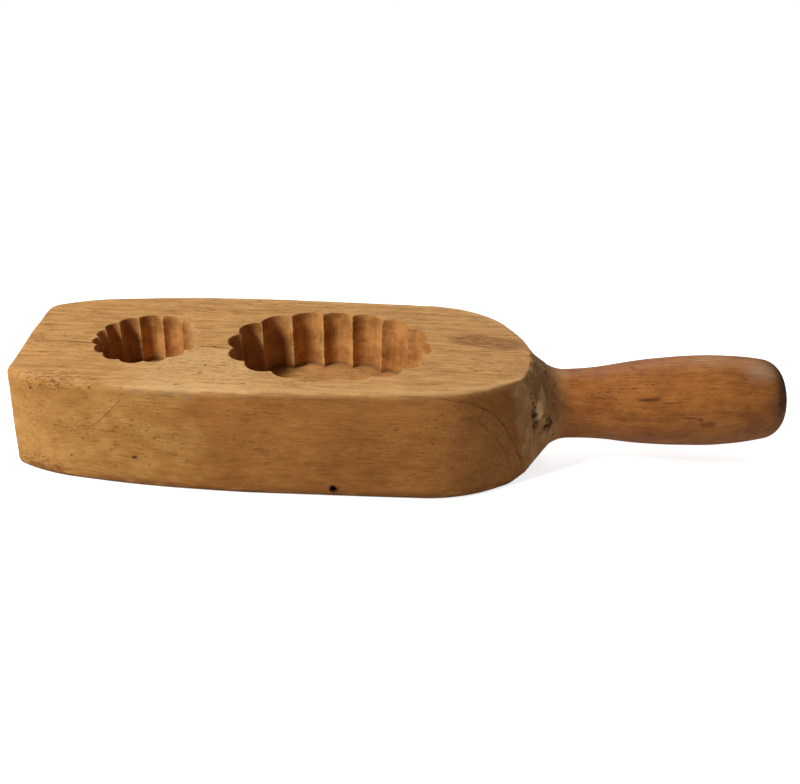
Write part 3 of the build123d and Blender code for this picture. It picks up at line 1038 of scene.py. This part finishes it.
@dataclass(frozen=True)
class BlockFinish(WoodFinish):
    """Bare honey-tan wood, planed and worn: golden on top, browner and redder along the front, mottled at the
    square end, grey where the neck is chiselled, with its own specks, scratches and a knot."""

    top_light: Triple = (0.650, 0.350, 0.122)
    top_dark: Triple = (0.280, 0.125, 0.034)
    left_light: Triple = (0.540, 0.285, 0.082)
    left_dark: Triple = (0.310, 0.130, 0.025)
    side_light: Triple = (0.430, 0.178, 0.044)
    side_dark: Triple = (0.200, 0.070, 0.014)
    shoulder: Triple = (0.95, 0.88, 0.70)
    dash: Triple = (0.190, 0.072, 0.018)
    pore: Triple = (0.070, 0.026, 0.009)
    # Pale colour of torn fibres and worn edges, also used for painted highlights.
    torn_and_sheen: Triple = (0.720, 0.470, 0.210)
    chisel_grey: Triple = (0.345, 0.172, 0.064)
    chisel_pale: Triple = (0.700, 0.450, 0.200)
    pit: Triple = (0.038, 0.017, 0.008)
    pocket_light: Triple = (0.650, 0.312, 0.094)
    pocket_dark: Triple = (0.270, 0.100, 0.024)
    smudge: Triple = (0.215, 0.145, 0.085)
    knot: Triple = (0.215, 0.082, 0.020)
    pale: Triple = (0.760, 0.500, 0.230)
    # Painted light: a pale patch on the lit right end of the round pocket.
    painted_light_patch: Speck = Speck((-96.0, 14.0, 45.0), (11.0, 16.0, 15.0))
    swarms: tuple[Speck, ...] = (Speck((-148.0, -39.0, 46.0), (30.0, 12.0, 8.0)),
                                 Speck((-156.0, -37.0, 5.0), (26.0, 14.0, 9.0)))
    smudged: Stroke = Stroke((-112.5, -45.2, 45.7), (-87.5, -46.2, 46.6), 2.6)
    chunk: Speck = Speck((58.0, -20.5, 38.5), (2.6, 6.0, 10.0))
    ring_line: float = 149.2
    second_ring_line: float = 145.6
    knot_at: Triple = (34.0, 6.0, 0.0)
    knot_length: float = 18.0
    knot_width: float = 7.5
    specks: tuple[Speck, ...] = speck_rows(
        (-113.1, -45.2, 14.8, 1.9, 3.0, 1.1, 0.9), (-121.8, -44.5, 9.3, 1.0, 3.0, 0.7, 0.6),
        (-156.7, -37.6, 41.7, 1.0, 3.0, 1.0, 0.8), (-145.9, -40.6, 46.7, 1.7, 3.0, 0.8, 0.7),
        (-130.2, -43.7, 46.1, 1.0, 3.0, 0.8, 0.7), (-158.5, -16.0, 47.2, 2.2, 0.9, 3.0, 0.5),
        (-86.0, -24.0, 49.2, 1.0, 0.8, 3.0, 0.7), (-85.3, -6.2, 49.2, 1.0, 0.9, 3.0, 0.8),
        (-86.5, -31.2, 49.2, 1.5, 0.8, 3.0, 0.6), (-94.4, -41.4, 49.0, 1.3, 0.8, 3.0, 0.7),
        (-109.0, -45.6, 21.0, 0.7, 3.0, 0.6, 0.6), (-141.0, -41.5, 12.0, 0.9, 3.0, 0.7, 0.6))
    pits: tuple[Speck, ...] = speck_rows(
        (60.1, -2.2, 45.8, 0.9, 1.4, 1.4, 0.9), (60.1, -5.4, 45.5, 1.3, 1.6, 1.6, 0.95),
        (58.0, -11.0, 46.5, 1.0, 1.4, 1.4, 0.5), (52.2, -25.6, 44.6, 0.7, 3.0, 0.8, 0.6),
        (52.7, -25.4, 42.3, 0.7, 3.0, 0.9, 0.6), (53.8, -24.7, 39.4, 1.0, 3.0, 1.3, 0.7),
        (54.7, -24.2, 37.2, 1.2, 3.0, 1.6, 0.9), (54.2, -24.5, 35.3, 1.0, 3.0, 1.4, 0.8),
        (55.3, -23.9, 33.1, 1.4, 3.0, 1.7, 0.9), (55.3, -23.9, 31.1, 1.2, 3.0, 1.5, 0.85),
        (56.4, -23.3, 28.9, 1.4, 3.0, 1.5, 0.85), (56.2, -23.4, 26.9, 1.1, 3.0, 1.3, 0.75),
        (57.6, -22.7, 29.6, 0.9, 3.0, 1.2, 0.6), (55.9, -23.6, 25.0, 0.7, 3.0, 1.0, 0.6),
        (59.9, -21.5, 31.8, 1.3, 3.0, 1.3, 0.75), (62.0, -19.9, 29.7, 1.3, 3.0, 1.6, 0.8),
        (62.9, -18.9, 27.2, 1.1, 3.0, 1.8, 0.85), (62.1, -20.3, 25.6, 1.2, 3.0, 1.5, 0.8),
        (61.1, -20.9, 23.8, 1.1, 3.0, 1.3, 0.7), (52.0, -25.8, 29.1, 0.7, 3.0, 0.6, 0.6))
    chips: tuple[Speck, ...] = speck_rows(
        (52.6, -17.0, 51.9, 1.1, 4.0, 1.0, 0.8), (51.4, -22.0, 51.4, 1.0, 2.0, 0.9, 0.6),
        (53.2, -10.0, 51.9, 0.9, 1.8, 0.9, 0.5))
    strokes: tuple[Stroke, ...] = (
        *stroke_rows(
            (1.0, 0.2, 1.0),
            (-117.2, -44.7, 41.9, -123.0, -44.3, 35.0, 0.4, 0.45),
            (-123.0, -44.3, 35.0, -129.0, -43.6, 29.0, 0.4, 0.45),
            (-129.0, -43.6, 29.0, -133.8, -42.9, 25.4, 0.4, 0.35),
            (-121.0, -44.6, 33.5, -127.5, -43.9, 44.0, 0.3, 0.25),
            (-67.5, -46.5, 46.9, -50.0, -46.6, 47.1, 0.35, 0.4),
            (-46.0, -46.5, 47.2, -27.0, -46.0, 47.8, 0.4, 0.5),
            (-24.0, -45.9, 47.6, 2.0, -44.9, 47.0, 0.35, 0.35)),
        *stroke_rows(
            (1.0, 1.0, 0.2),
            (-164.8, -5.4, 47.1, -150.0, -4.9, 47.5, 0.8, 0.6),
            (-150.0, -4.9, 47.5, -138.8, -5.8, 47.8, 0.9, 0.8),
            (-92.0, -6.1, 49.0, -78.5, -7.2, 49.4, 0.7, 0.85),
            (-54.8, -35.5, 50.0, -49.5, -36.2, 50.1, 0.35, 0.5),
            (-42.6, -34.8, 50.3, -41.9, -36.6, 50.3, 0.35, 0.55),
            (-40.5, -35.3, 50.4, -38.0, -36.0, 50.4, 0.35, 0.5)),
        *stroke_rows(
            (1.0, 0.4, 1.0),
            (-83.5, -45.8, 48.4, -70.0, -46.0, 48.5, 0.5, 0.3),
            (-58.0, -45.8, 49.2, -44.0, -46.0, 49.5, 0.35, 0.45)),
        *stroke_rows(
            (1.0, 0.3, 1.0),
            (54.3, -24.0, 44.5, 56.1, -23.5, 36.5, 0.4, 0.6),
            (58.6, -21.5, 38.0, 60.2, -21.4, 31.8, 0.35, 0.5)))

    def _plain(self, g: Graph, place: Field, ahead: Field, up: Field) -> tuple[Field, Field]:
        """The colour of plain planed wood on top, sides and sawn end, and its height for the bump."""
        x, y, _ = g.split(place)
        wander = self.wander(g, place)
        rings, streaks = self.rings(g, wander), g.wood(wander, Wood.STREAKS)
        fibres, dashes = g.wood(wander, Wood.FIBRES), g.wood(wander, Wood.DASHES)
        pores, flecks = self.pores(g, place), self.flecks(g, place)
        clouds, spots = self.clouds(g, place, 26.0), self.clouds(g, place, 7.0)
        uneven = clouds - 0.5

        tone = rings * 0.15 + fibres * 0.3 + streaks * 0.3 + clouds * 0.1 + spots * 0.15
        front = g.rise(y + uneven * 5.0, -4.5, -7.5) * g.rise(x, -130.0, -100.0) * g.rise(x, -45.0, -75.0)
        top = g.mix(front * 0.24, g.mix(tone, self.top_dark, self.top_light), self.pale)
        mottled = g.mix(fibres * 0.25 + clouds * 0.35 + spots * 0.4, self.left_dark, self.left_light)
        side_tone = fibres * 0.32 + streaks * 0.16 + clouds * 0.3 + spots * 0.22
        end_tone = rings * 0.5 + g.wood(place, Wood.END_CIRCLES) * 0.25 + spots * 0.25
        colour = g.coats(
            g.mix(side_tone, self.side_dark, self.side_light),
            (g.rise(x + uneven * 50.0, -75.0, -125.0), mottled),
            (g.rise(ahead, -0.6, -0.9), g.mix(end_tone, self.left_dark, self.left_light)),
            (g.rise(up, 0.35, 0.8), top),
            (dashes * 0.62, self.dash), (pores * 0.7, self.pore), (flecks * 0.3, self.torn_and_sheen))
        return colour, fibres * 0.3 + streaks * 0.2 - dashes * 0.4 - pores * 0.7

    def _figure(self, g: Graph, place: Field, up: Field, x: Field, colour: Field) -> Field:
        """Lays the shoulder's ring lines and the knot in the top over the colour."""
        bent = g.vector("SUBTRACT", g.noise_vector(place, (0.06, 0.06, 0.06)), HALVES)
        near = g.vector("ADD", place, g.vector("SCALE", bent, Scale=2.0))
        bulge = g.rise(x, 18.0, 38.0) * g.rise(x, 51.0, 41.0)
        distance = self.pith_distance(g, near) - (x - 50.0) * 0.027 - bulge * 0.9
        side = g.rise(up, 0.75, 0.5) * g.rise(x, -14.0, 2.0)
        beyond = g.rise(distance, self.ring_line - 0.3, self.ring_line + 0.6) * side
        colour = g.mix(beyond * 0.8, colour, self.shoulder, "MULTIPLY")
        line = g.rise(abs(distance - self.ring_line), 0.35, 0.05) * side
        second = g.rise(abs(distance - self.second_ring_line), 0.3, 0.05) * side * g.rise(x, 16.0, 30.0) * 0.6
        lines = g.math("MAXIMUM", line, second) * (0.35 + 0.4 * g.wood(place, Wood.LINE_GAPS))

        off = g.vector("SUBTRACT", place, self.knot_at)
        tilted = g.vector("ADD", off, g.vector("MULTIPLY", bent, (10.0, 5.0, 0.0)))
        knot_x, knot_y, _ = g.split(tilted)
        along, across = knot_x / self.knot_length, (knot_y + knot_x * 0.12) / self.knot_width
        oval = g.math("SQRT", along * along + across * across)
        waves = g.math("SINE", oval * 21.0) * 0.5 + 0.5
        knot = g.rise(oval, 1.05, 0.75) * g.rise(up, 0.6, 0.9) * (0.5 + 0.3 * waves)
        return g.coats(colour, (lines, self.pore), (knot * g.wood(place, Wood.KNOT_GAPS), self.knot))

    def _pockets(self, g: Graph, place: Field, z: Field, colour: Field) -> Field:
        """Lays the pockets' walls over the colour: cross-cut wood, painted shade towards the floor, pale
        ridges and a painted patch of light on the round pocket's lit end.
        """
        layers, uprights = g.wood(place, Wood.WALL_LAYERS), g.wood(place, Wood.WALL_UPRIGHTS)
        tone = layers * 0.16 + uprights * 0.28 + self.clouds(g, place, 8.0) * 0.56
        wall = g.coats(
            g.mix(tone, self.pocket_dark, self.pocket_light),
            (g.wood(place, Wood.WALL_SPECKS) * 0.6, self.pore),
            # Painted shade: the walls grow darker towards the pocket floor.
            (g.rise(z, 31.0, 23.5) * 0.25, self.pocket_dark),
            (g.mask(Mask.RIDGE) * g.wood(place, Wood.RIDGE_WEAR) * 0.55, self.torn_and_sheen),
            # Painted light on the round pocket's lit end.
            (g.spot(place, self.painted_light_patch, 0.8) * 0.42, self.pale))
        return g.mix(g.mask(Mask.POCKET) * (1.0 - g.mask(Mask.FLOOR) * 0.75), colour, wall)

    def _neck(self, g: Graph, place: Field, colour: Field) -> tuple[Field, Field]:
        """Lays the grey chisel work, the dark pits, and dirt and painted shade at the foot of the pocket
        walls over the colour, and gives the streaks' height.
        """
        border = g.noise(place, (0.16, 0.16, 0.22), 4.0, 0.6)
        chisel = g.rise(g.mask(Mask.CHISEL) + (border - 0.5) * 1.6, 0.3, 0.85)
        streaks = g.wood(place, Wood.CHISEL_STREAKS)
        strip = g.shake(place, (0.25, 0.25, 0.1), (5.0, 5.0, 5.0), 3.0)
        chunk = g.spot(strip, self.chunk, 0.35) * (0.55 + 0.45 * streaks)
        pale = g.math("MAXIMUM", streaks * g.wood(place, Wood.CHISEL_PATCHES) * 0.4, chunk)
        raw = g.mix(pale, self.chisel_grey, self.chisel_pale)
        # The pit mask darkens the pits and the flight hole, and paints dirt and shade along the foot of the
        # pocket walls.
        colour = g.coats(colour, (chisel * 0.85, raw), (g.mask(Mask.PIT_AND_FOOT_SHADE) * 0.9, self.pit))
        return colour, streaks * chisel

    def build(self, name: str) -> Material:
        """Makes the material."""
        g = Graph(name)
        place = self.place(g)
        x, _, z = g.split(place)
        ahead, _, up = g.split(g.node("NewGeometry", {}, {}).outputs["True Normal"])
        colour, height = self._plain(g, place, ahead, up)
        colour = self._figure(g, place, up, x, colour)
        colour = self._pockets(g, place, z, colour)

        arris, dirt = g.mask(Mask.ARRIS), self.dirt(g, place)
        swarms = g.math("MAXIMUM", *(g.spot(place, swarm, 0.9) for swarm in self.swarms))
        colour = g.coats(
            colour,
            # Pale worn band along the left end of the top arris, partly a painted highlight.
            (arris * g.rise(x, -135.0, -95.0) * 0.25, self.torn_and_sheen),
            (dirt * (0.4 + 0.5 * arris), self.dash),
            (g.wood(place, Wood.SWARM) * swarms * 0.9, self.dash),
            # Darker towards the bottom: a mottled band low on the sides and a dark line along the base edge.
            (g.rise(z, 6.5, 2.0) * g.wood(place, Wood.BASE_DARKENING) * 0.9, self.dash),
            (g.rise(z, 2.4, 0.6) * 0.6, self.pore),
            (g.stroke(place, self.smudged) * g.wood(place, Wood.SMUDGE) * 0.55, self.smudge))
        colour, streaks = self._neck(g, place, colour)
        colour = self.scratch(g, colour, place, self.pore)
        ragged = self.ragged(g, place)
        colour = g.speckle(colour, ragged, self.specks, self.pore)
        colour = g.speckle(colour, ragged, self.chips, self.torn_and_sheen)
        wild = g.shake(place, (0.55, 0.55, 0.55), (4.4, 4.4, 4.4), 3.0)
        colour = g.speckle(colour, wild, self.pits, self.pit)
        rough = 0.56 + (1.0 - g.wood(place, Wood.FIBRES)) * 0.14 + dirt * 0.1
        return self.close(g, colour, rough, height + streaks * 0.8 - dirt * 0.4)


@dataclass(frozen=True)
class HandleFinish(WoodFinish):
    """The same wood, redder and half polished by hands, blotched, with dark pores, scuffs on the tip and
    painted highlights along its top.
    """

    light: Triple = (0.475, 0.177, 0.041)
    dark: Triple = (0.180, 0.054, 0.012)
    dash: Triple = (0.130, 0.038, 0.010)
    pore: Triple = (0.060, 0.020, 0.007)
    # Pale colour of torn fibres, also used for the painted highlights on top.
    torn_and_sheen: Triple = (0.640, 0.380, 0.160)
    neck_light: Triple = (0.440, 0.215, 0.074)
    neck_dark: Triple = (0.290, 0.130, 0.042)
    tip: Triple = (0.080, 0.036, 0.016)
    # A pale scuff high on the tip, partly wear and partly a painted highlight.
    scuff_and_sheen_paint: Triple = (0.470, 0.310, 0.190)
    scuff_and_sheen: Speck = Speck((155.0, 1.0, 48.0), (12.0, 12.0, 7.0))
    tip_from: float = 148.0
    tip_to: float = 168.0
    bump_strength: float = 0.45
    bump_depth: float = 0.00018
    gloss: float = 0.12
    specks: tuple[Speck, ...] = speck_rows(
        (132.0, -14.0, 28.0, 5.0, 4.0, 2.4, 0.5), (128.5, -14.3, 30.0, 1.5, 4.0, 1.2, 0.6))
    strokes: tuple[Stroke, ...] = (
        *stroke_rows(
            (1.0, 0.2, 1.0),
            (112.0, -13.0, 36.6, 119.0, -12.8, 37.3, 0.35, 0.6),
            (121.0, -14.4, 31.0, 128.0, -14.5, 30.4, 0.6, 0.5)),
        *stroke_rows(
            (1.0, 0.5, 0.5),
            (90.0, -2.6, 43.5, 96.5, -2.6, 44.0, 0.35, 0.55),
            (120.0, -3.0, 47.2, 131.0, -3.0, 47.9, 0.3, 0.5)))

    def build(self, name: str) -> Material:
        """Makes the material."""
        g = Graph(name)
        place = self.place(g)
        x, _, z = g.split(place)
        wander = self.wander(g, place)
        fibres, dashes = g.wood(wander, Wood.FIBRES), g.wood(wander, Wood.DASHES)
        pores, dirt = self.pores(g, place), self.dirt(g, place)
        clouds, spots = self.clouds(g, place, 20.0), self.clouds(g, place, 6.0)
        uneven = clouds - 0.5
        tone = self.rings(g, wander) * 0.2 + fibres * 0.3 + clouds * 0.25 + spots * 0.25
        tip = g.rise(x + uneven * 14.0, self.tip_from, self.tip_to)
        tip_share = tip * (0.62 + 0.33 * g.wood(place, Wood.TIP_SCUFFS))
        tip_share = tip_share * (0.25 + 0.85 * g.rise(z, 24.0, 37.0))
        # Painted highlight: a pale band along the top of the grip.
        painted_sheen = g.rise(z, 47.0, 53.0) * g.rise(x, 84.0, 112.0) * (0.25 + 0.3 * fibres)
        colour = g.coats(
            g.mix(tone, self.dark, self.light),
            (dashes * 0.6, self.dash),
            (pores * 0.75, self.pore),
            (self.flecks(g, place) * 0.38, self.torn_and_sheen),
            (tip_share, self.tip),
            (painted_sheen, self.torn_and_sheen),
            # Pale scuff, partly a painted highlight.
            (g.spot(place, self.scuff_and_sheen, 0.9) * (0.3 + 0.25 * fibres), self.scuff_and_sheen_paint),
            (dirt * (0.35 + tip * 0.4), self.pore),
            (g.rise(x + uneven * 3.0, 71.5, 65.5) * 0.8, g.mix(fibres, self.neck_dark, self.neck_light)))
        colour = self.scratch(g, colour, place, self.pore)
        colour = g.speckle(colour, self.ragged(g, place), self.specks, self.pore)
        colour = g.mix(g.mask(Mask.PIT_AND_FOOT_SHADE) * 0.8, colour, self.pore)
        rough = 0.44 + (1.0 - fibres) * 0.12 + tip * 0.15
        return self.close(g, colour, rough, fibres * 0.2 - dashes * 0.25 - pores * 1.0 - dirt * 0.6)


@dataclass(frozen=True)
class Studio:
    """Pale floor, a soft lamp high on the left, a broad weak one behind, and an even pale surround."""

    lamp_from: Triple = (-0.64, -0.385, 0.70)
    lamp_size: float = 0.33
    lamp_power: float = 25.0
    rear_lamp_from: Triple = (0.10, 0.78, 0.62)
    rear_lamp_size: float = 0.8
    rear_lamp_power: float = 7.5
    lamp_away: float = 1.5
    surround: float = 0.105
    floor_grey: Triple = (0.8, 0.8, 0.8)
    white: Triple = (1.0, 1.0, 1.0)
    floor_glow: float = 0.8
    floor_half: float = 6.0
    floor_fade_from: float = 0.42
    floor_fade_to: float = 0.8

    def _world(self) -> None:
        """An even surround that lights at the surround's strength and shows white to the camera."""
        g = Graph("surround", "worlds")
        lit, seen = (g.node("Background", {}, {"Color": self.white, "Strength": strength}).outputs[0]
                     for strength in (self.surround, 1.0))
        path = g.node("LightPath", {}, {}).outputs["Is Camera Ray"]
        both = g.node("MixShader", {}, {0: path, 1: lit, 2: seen})
        g.node("OutputWorld", {}, {0: both.outputs[0]})
        bpy.context.scene.world = g.owner

    def _lamp(self, name: str, stand: Triple, size: float, power: float) -> None:
        """A square lamp, turned to the middle of the mold."""
        data = bpy.data.lights.new(name, "AREA")
        data.shape, data.size, data.energy = "SQUARE", size, power
        lamp = link(name, data)
        way = Vector(stand).normalized()
        lamp.location = way * self.lamp_away
        lamp.rotation_mode = "QUATERNION"
        lamp.rotation_quaternion = way.to_track_quat("Z", "Y")

    def _floor(self) -> None:
        """A flat white floor at the mold's underside. To the camera it also glows a little, so that it is
        white where the lamp reaches it and keeps the mold's shadow, and further off it turns plain white."""
        h = self.floor_half
        mesh = bpy.data.meshes.new("floor")
        mesh.from_pydata([(-h, -h, 0), (h, -h, 0), (h, h, 0), (-h, h, 0)], [], [(0, 1, 2, 3)])
        g = Graph("floor_white")
        matt = g.node("BsdfDiffuse", {}, {"Color": self.floor_grey}).outputs[0]
        glow, white = (g.node("Emission", {}, {"Color": self.white, "Strength": strength}).outputs[0]
                       for strength in (self.floor_glow, 1.0))
        both = g.node("AddShader", {}, {0: matt, 1: glow}).outputs[0]
        place = g.node("TexCoord", {}, {}).outputs["Object"]
        far = g.rise(g.vector("LENGTH", place, out=1), self.floor_fade_from, self.floor_fade_to)
        seen = g.node("MixShader", {}, {0: far, 1: both, 2: white}).outputs[0]
        path = g.node("LightPath", {}, {}).outputs["Is Camera Ray"]
        pick = g.node("MixShader", {}, {0: path, 1: matt, 2: seen})
        g.node("OutputMaterial", {}, {"Surface": pick.outputs[0]})
        mesh.materials.append(g.owner)
        floor = link("floor", mesh)

    def build(self) -> None:
        """Makes the surround, the lamps and the floor."""
        self._world()
        self._lamp("soft_lamp", self.lamp_from, self.lamp_size, self.lamp_power)
        self._lamp("rear_lamp", self.rear_lamp_from, self.rear_lamp_size, self.rear_lamp_power)
        self._floor()


@dataclass(frozen=True)
class Viewpoint:
    """The photograph's camera: where it stands, in metres, how it is turned, in degrees, and its lens."""

    stand: Triple = (0.006263, -0.448405, 0.273644)
    pitch: float = 28.6924
    yaw: float = 1.2271
    roll: float = 2.4972
    focal_pixels: float = 1138.02
    image_width: int = 800
    sensor: float = 36.0

    def build(self) -> None:
        """Makes the camera. It looks along +Y, turned left by the yaw, down by the pitch, then rolled."""
        pitch, yaw, roll = (math.radians(a) for a in (self.pitch, self.yaw, self.roll))
        ahead = Vector((-math.sin(yaw) * math.cos(pitch), math.cos(yaw) * math.cos(pitch), -math.sin(pitch)))
        right = Vector((math.cos(yaw), math.sin(yaw), 0.0))
        up = right.cross(ahead)
        rolled_right = right * math.cos(roll) + up * math.sin(roll)
        rolled_up = up * math.cos(roll) - right * math.sin(roll)
        data = bpy.data.cameras.new("photo_camera")
        data.sensor_width = self.sensor
        data.lens = self.focal_pixels / self.image_width * self.sensor
        data.clip_start = 0.01
        data.clip_end = 50.0
        camera = link("photo_camera", data)
        turn = Matrix((rolled_right, rolled_up, -ahead)).transposed().to_4x4()
        camera.matrix_world = Matrix.Translation(Vector(self.stand)) @ turn
        bpy.context.scene.camera = camera


def main() -> None:
    """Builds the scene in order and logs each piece."""
    logging.basicConfig(level=logging.INFO, format="%(name)s %(message)s")
    scene = bpy.context.scene
    scene.view_settings.view_transform = "Standard"
    Viewpoint().build()
    Studio().build()
    joint = Joint()
    MoldBlock(joint).build(BlockFinish())
    MoldHandle(joint).build(HandleFinish())


if __name__ == "__main__":
    main()
